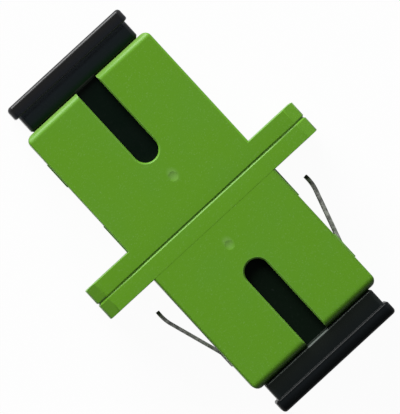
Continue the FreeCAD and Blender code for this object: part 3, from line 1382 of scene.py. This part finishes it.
@dataclass
class Studio:
    """The white sweep, the soft lights, the dim surround and the camera over the adapter."""

    floor_width: float = 3.0
    ambient: float = 0.11
    ceiling: float = 0.06
    ceiling_limits: Span = (0.25, 0.85)
    frame_width: float = 31.56
    aim: tuple[float, float, float] = (-0.110, -0.292, 4.55)
    image_right: tuple[float, float, float] = (-0.736, 0.677, 0.0)
    lean_degrees: float = 0.8
    lean_towards: tuple[float, float, float] = (0.6, -0.5, 0.0)
    lens: float = 1400.0
    sensor: float = 36.0
    nearest: float = 0.01
    farthest: float = 20.0
    softboxes: tuple[Softbox, ...] = (
        Softbox("key_softbox", (-0.15, -1.0, 0.5), distance=0.8, width=0.5, level=0.96),
        Softbox("overhead_softbox", (-0.75, 0.1, 1.0), distance=0.42, width=0.26, level=0.06),
    )

    def build(self) -> None:
        """Set up everything that isn't the adapter."""
        self.lay_floor()
        self.light_surround()
        for softbox in self.softboxes:
            softbox.build()
        self.place_camera()
        bpy.context.scene.view_settings.view_transform = "Standard"

    def lay_floor(self) -> None:
        """Lay the white sweep under the adapter."""
        lowest = min(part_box(node)[0].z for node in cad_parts)
        half = self.floor_width / 2
        mesh = bpy.data.meshes.new("sweep")
        corners = [(-half, -half), (half, -half), (half, half), (-half, half)]
        mesh.from_pydata([(x, y, lowest) for x, y in corners], [], [(0, 1, 2, 3)])
        floor = new_piece("sweep", mesh)
        mesh.materials.append(PaleFloor("sweep_paper", None).material())

    def light_surround(self) -> None:
        """Light the surround: white where it is seen, dim overhead and dim for soft light."""
        world = bpy.data.worlds.new("surround")
        bpy.context.scene.world = world
        world.use_nodes = True
        tree = Tree(world.node_tree)
        camera = tree.node("ShaderNodeLightPath", outlet="Is Camera Ray")
        _, _, up = tree.axes(tree.node("ShaderNodeTexCoord", outlet="Generated"))
        mirrored = up.ramp(*self.ceiling_limits) * (self.ceiling - 1.0) + 1.0
        shown = camera + (1.0 - camera) * mirrored
        seen = seen_directly(tree)
        strength = seen * shown + (1.0 - seen) * self.ambient
        light = {"Color": tree.paint(WHITE), "Strength": strength}
        glow = tree.node("ShaderNodeBackground", light)
        tree.node("ShaderNodeOutputWorld", {"Surface": glow})

    def place_camera(self) -> None:
        """Stand the camera over the adapter, leaning a little, at a long focal length."""
        distance = self.frame_width * MM * self.lens / self.sensor
        target = Vector(self.aim) * MM
        lean = math.radians(self.lean_degrees)
        sideways = Vector(self.lean_towards).normalized() * math.sin(lean)
        back = (Vector((0.0, 0.0, math.cos(lean))) + sideways).normalized()
        right = Vector(self.image_right)
        right = (right - back * right.dot(back)).normalized()
        turn = Matrix((right, back.cross(right), back)).transposed()
        lens = bpy.data.cameras.new("overhead_camera")
        lens.sensor_fit = "HORIZONTAL"
        lens.sensor_width = self.sensor
        lens.lens = self.lens
        lens.clip_start = self.nearest
        lens.clip_end = self.farthest
        camera = bpy.data.objects.new("overhead_camera", lens)
        camera.matrix_world = Matrix.Translation(target + back * distance) @ turn.to_4x4()
        bpy.context.scene.collection.objects.link(camera)
        bpy.context.scene.camera = camera


# ------------------------------------------------------------------------------- finishes used
GREEN = Moulding(
    "green_moulding",
    Slot.GREEN,
    colour=(0.104, 0.276, 0.0135),
    pale=(0.280, 0.450, 0.170),
    deep=(0.099, 0.272, 0.0200),
    roughness=0.38,
    gloss=0.2,
    cloudiness=0.45,
    # paler edges, wear with a painted edge highlight, from 2 mm off the seam
    edge_share=0.4,
    worn_from=2.0,
    blushes=(Blush(-0.25, -3.67, 0.75, 0.25), Blush(0.17, 3.3, 0.7, 0.22)),
    # painted shade darkens the back mouth's rounded edge; a painted highlight pales the front
    # mouth's
    tints=(
        Tint(12.65, 13.15, 0.35, (0.0200, 0.0600, 0.0020)),
        Tint(13.05, 13.45, 0.90, (0.0040, 0.0160, 0.0006)),
        Tint(-13.15, -13.5, 0.50, (0.1300, 0.1950, 0.0650)),
    ),
)
# One black plastic for both caps; this copy's colour and steps paint the light and shade that the
# front cap shows.
BLACK_FRONT_PAINTED_LIGHT = Moulding(
    "black_moulding_front",
    Slot.BLACK,
    # painted shade, with green light from the housing, on the plug inside the port
    colour=(0.0002, 0.0038, 0.0015),
    pale=(0.030, 0.030, 0.030),
    deep=(0.0020, 0.0040, 0.0040),
    roughness=0.32,
    gloss=0.22,
    edge_share=0.3,
    dust_share=0.25,
    stops=(
        # painted shade with green bounce light at the shoulder by the housing's mouth
        Stop(13.55, (0.0002, 0.0038, 0.0015)),
        Stop(13.72, (0.0002, 0.0085, 0.0005)),
        # painted light that brightens along the neck towards the plate
        Stop(14.3, (0.0064, 0.0102, 0.0110)),
        Stop(14.85, (0.0104, 0.0142, 0.0172)),
        # painted light band that lifts the shadow at the step between neck and plate
        Stop(15.05, (0.0560, 0.0700, 0.0840)),
        # painted light that brightens across the plate towards its outer end
        Stop(15.2, (0.0088, 0.0104, 0.0136)),
        Stop(15.95, (0.0124, 0.0124, 0.0126)),
    ),
)
# One black plastic for both caps; this copy's colour and steps paint the light and shade that the
# back cap shows.
BLACK_BACK_PAINTED_LIGHT = Moulding(
    "black_moulding_back",
    Slot.BLACK,
    # painted shade, with green light from the housing, on the plug inside the port
    colour=(0.0025, 0.0066, 0.0032),
    pale=(0.030, 0.036, 0.033),
    deep=(0.0024, 0.0040, 0.0036),
    roughness=0.36,
    gloss=0.08,
    edge_share=0.15,
    dust_share=0.25,
    stops=(
        Stop(13.57, (0.0025, 0.0066, 0.0032)),
        # painted highlight along the shoulder's rim
        Stop(13.62, (0.0850, 0.1030, 0.0900)),
        Stop(13.68, (0.0850, 0.1030, 0.0900)),
        Stop(13.73, (0.0140, 0.0170, 0.0150)),
        # painted shade along the neck, a little darker towards the plate
        Stop(13.85, (0.0098, 0.0124, 0.0104)),
        Stop(15.05, (0.0072, 0.0096, 0.0098)),
        # painted shade band over the plate's inner bevel
        Stop(15.13, (0.0036, 0.0046, 0.0050)),
        Stop(15.28, (0.0036, 0.0046, 0.0050)),
        # painted shade, darker towards the plate's outer end
        Stop(15.4, (0.0066, 0.0084, 0.0096)),
        Stop(15.9, (0.0022, 0.0028, 0.0032)),
    ),
)
LATCH = Moulding(
    "natural_latch_moulding",
    Slot.LATCH,
    colour=(0.62, 0.60, 0.52),
    pale=(0.74, 0.73, 0.67),
    deep=(0.55, 0.53, 0.45),
    roughness=0.4,
)
STEEL = RolledSteel("rolled_spring_steel", Slot.STEEL)
CERAMIC = GroundCeramic("ground_zirconia", Slot.CERAMIC)


def main() -> None:
    """Build the adapter's sub-assemblies and the studio."""
    logging.basicConfig(level=logging.INFO, format="%(message)s")
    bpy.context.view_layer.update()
    assemblies: list[SubAssembly] = [
        HousingHalf(GREEN, end=End.BACK),
        HousingHalf(GREEN, end=End.FRONT),
        WeldSeam(GREEN),
        LatchHolder(LATCH, end=End.BACK),
        LatchHolder(LATCH, end=End.FRONT),
        AlignmentSleeve(CERAMIC),
        PanelClip(STEEL),
        DustCap(BLACK_BACK_PAINTED_LIGHT, end=End.BACK),
        DustCap(BLACK_FRONT_PAINTED_LIGHT, end=End.FRONT),
    ]
    for assembly in assemblies:
        assembly.build()
    Studio().build()


if __name__ == "__main__":
    main()
